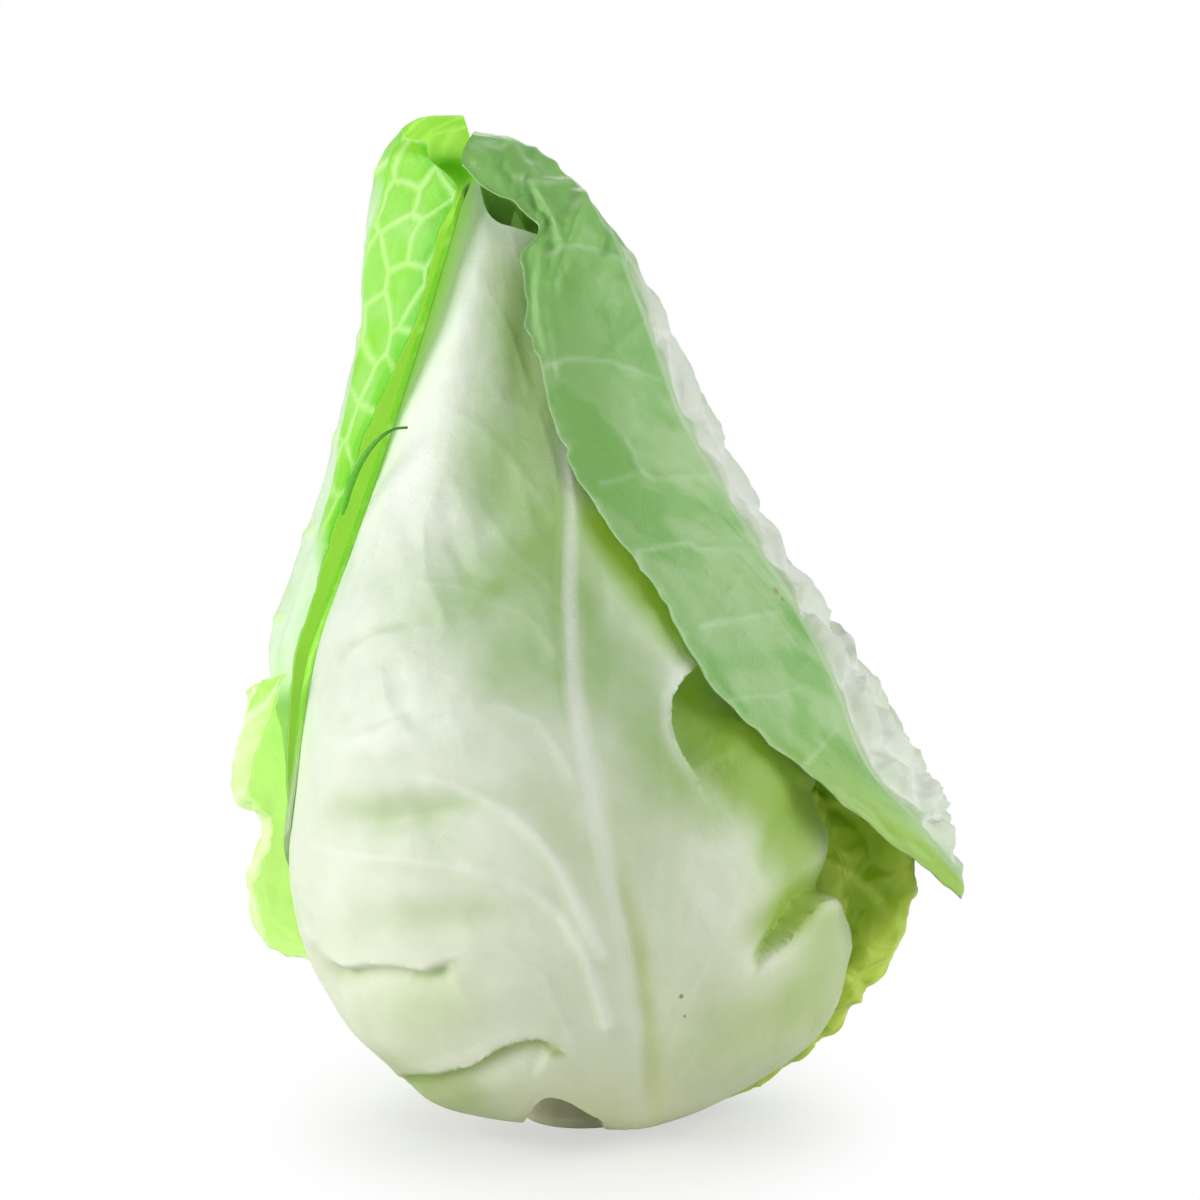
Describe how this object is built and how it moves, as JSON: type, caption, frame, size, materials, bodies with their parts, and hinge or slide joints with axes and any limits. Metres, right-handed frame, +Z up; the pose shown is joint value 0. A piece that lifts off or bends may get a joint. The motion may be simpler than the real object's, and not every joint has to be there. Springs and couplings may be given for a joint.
{
  "type": "cabbage head",
  "caption": "Pointed cabbage head standing on its cut stalk: a pale ribbed front leaf, outer leaves folded into a cape and a bright strip, and frilled lower leaves round a dense heart.",
  "frame": {"origin": "the middle of the stalk's flat cut face, on the surface that the head stands on", "axes": "+Z up along the height of the head, -Y towards the viewer of the picture, +X to that viewer's right"},
  "size_m": [0.1647, 0.1236, 0.2294],
  "materials": {
    "stalk": "matt cut vegetable flesh",
    "heart": "pale waxy leaf",
    "pale_leaf": "pale waxy leaf with white veins",
    "pale_back_leaf": "pale waxy leaf with white veins",
    "cape_leaf": "satin green leaf",
    "shaded_leaf": "satin yellow-green leaf",
    "bright_leaf": "thin bright green leaf",
    "bright_cup_leaf": "thin bright green leaf"
  },
  "bodies": {
    "root": {"stem": "stalk", "heart": "heart", "front_leaf": "pale_leaf", "back_leaf": "pale_back_leaf", "right_leaf": "cape_leaf", "right_cup_leaf": "shaded_leaf", "left_leaf": "bright_leaf", "left_cup_leaf": "bright_cup_leaf"}
  },
  "joints": []
}
